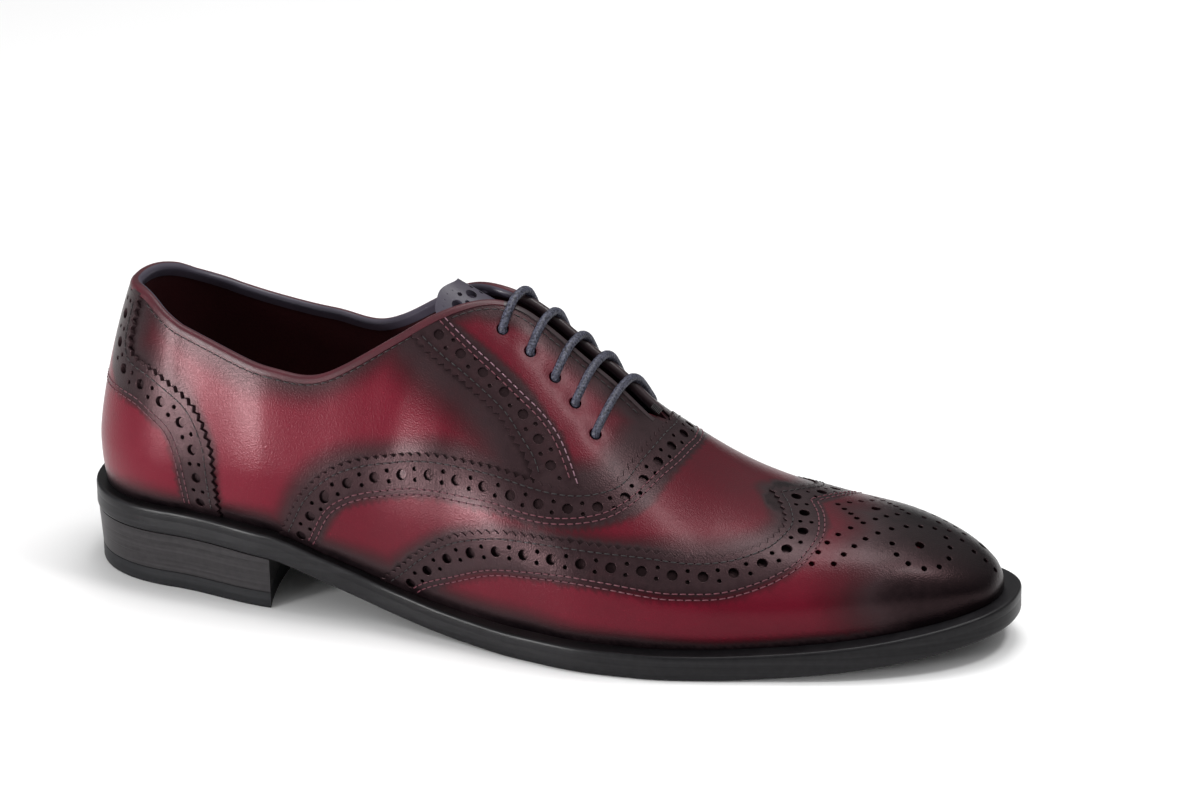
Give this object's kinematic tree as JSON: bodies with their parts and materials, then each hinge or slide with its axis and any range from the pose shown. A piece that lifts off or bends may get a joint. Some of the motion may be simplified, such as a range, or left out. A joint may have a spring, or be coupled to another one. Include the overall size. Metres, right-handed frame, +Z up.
{
  "type": "brogue dress shoe",
  "caption": "Full wing-tip lace-up dress shoe, right foot, with a hollow lasted upper, closed throat, welted leather sole and stacked heel.",
  "frame": {"origin": "on the floor, under the middle of the shoe's box", "axes": "+X to the toe, +Y to the inner (medial) side of a right shoe, +Z up"},
  "size_m": [0.308, 0.1069, 0.1051],
  "materials": {
    "upper_leather": "polished burgundy calf, burnished dark at the seams",
    "burnished_leather": "polished, burnished nearly black",
    "edge_leather": "black waxed edge",
    "sole_leather": "natural tan, smooth",
    "top_lift_rubber": "matt black",
    "lining_leather": "dark maroon, semi-matt",
    "tongue_leather": "dark navy, semi-matt",
    "lace_cord": "waxed round cord"
  },
  "bodies": {
    "root": {"outsole": "sole_leather", "welt": "edge_leather", "heel_stack": "edge_leather", "heel_top_lift": "top_lift_rubber", "insole": "lining_leather", "upper": "upper_leather", "vamp": "upper_leather", "wing_cap": "burnished_leather", "heel_counter": "burnished_leather", "eyestay_lateral": "upper_leather", "eyestay_medial": "upper_leather", "tongue": "tongue_leather", "lace_bar_1": "lace_cord", "lace_bar_2": "lace_cord", "lace_bar_3": "lace_cord", "lace_bar_4": "lace_cord", "lace_bar_5": "lace_cord"}
  },
  "joints": []
}
